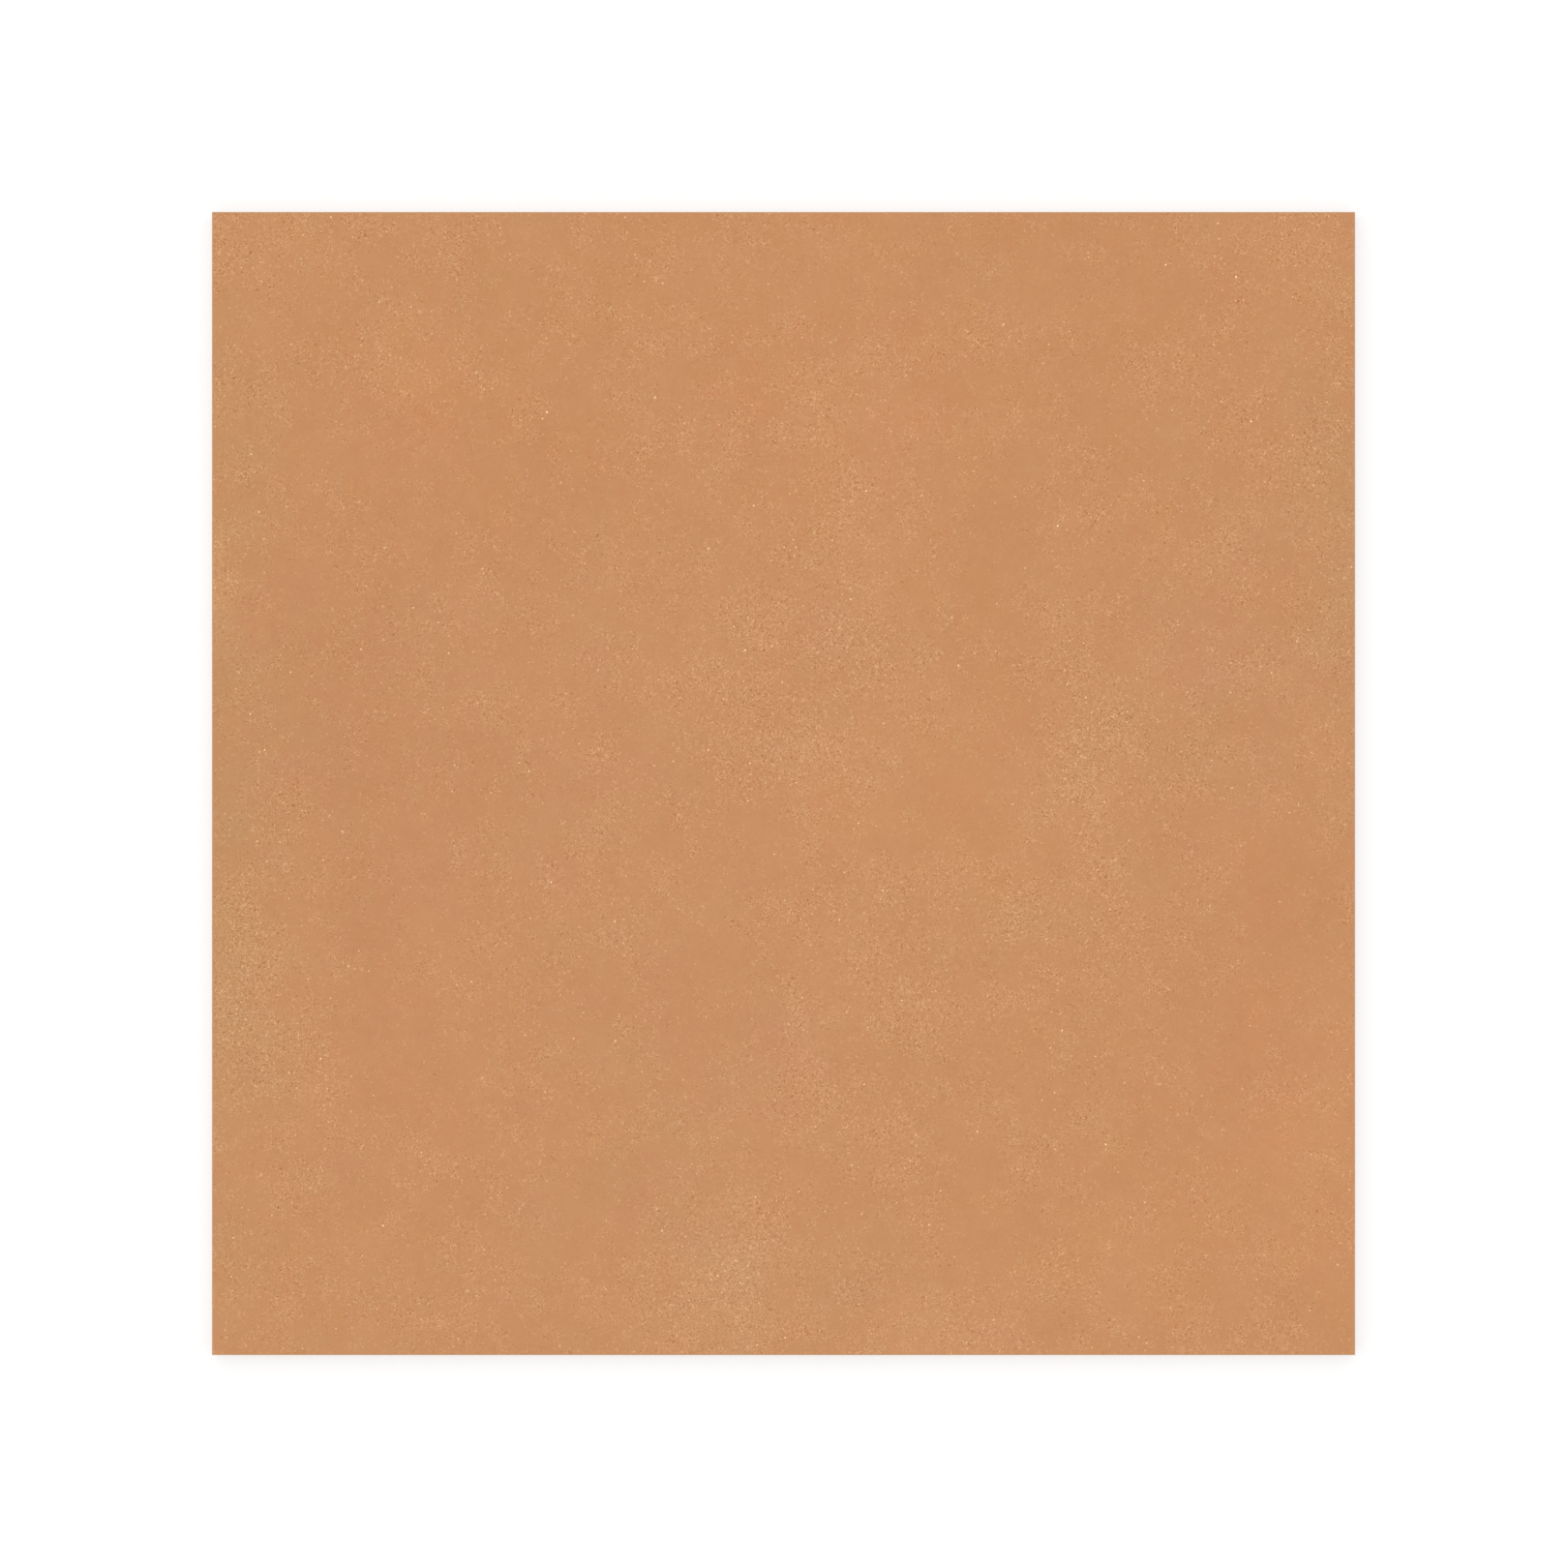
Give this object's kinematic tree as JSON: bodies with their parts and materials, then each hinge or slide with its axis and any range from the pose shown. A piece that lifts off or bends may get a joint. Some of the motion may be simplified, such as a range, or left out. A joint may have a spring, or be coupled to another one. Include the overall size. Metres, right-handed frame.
{
  "type": "porcelain tile",
  "caption": "Square rectified porcelain floor tile with a flat matt terracotta face, fine ground edge bevels and a shallow ribbed keying grid on the back.",
  "frame": {"origin": "middle of the back, on the plane that the rib crests rest on", "axes": "+Z square to the tile, out of its face; +X and +Y along its edges"},
  "size_m": [0.6, 0.6, 0.009],
  "materials": {
    "porcelain": "matte"
  },
  "bodies": {
    "root": {"tile": "porcelain"}
  },
  "joints": []
}
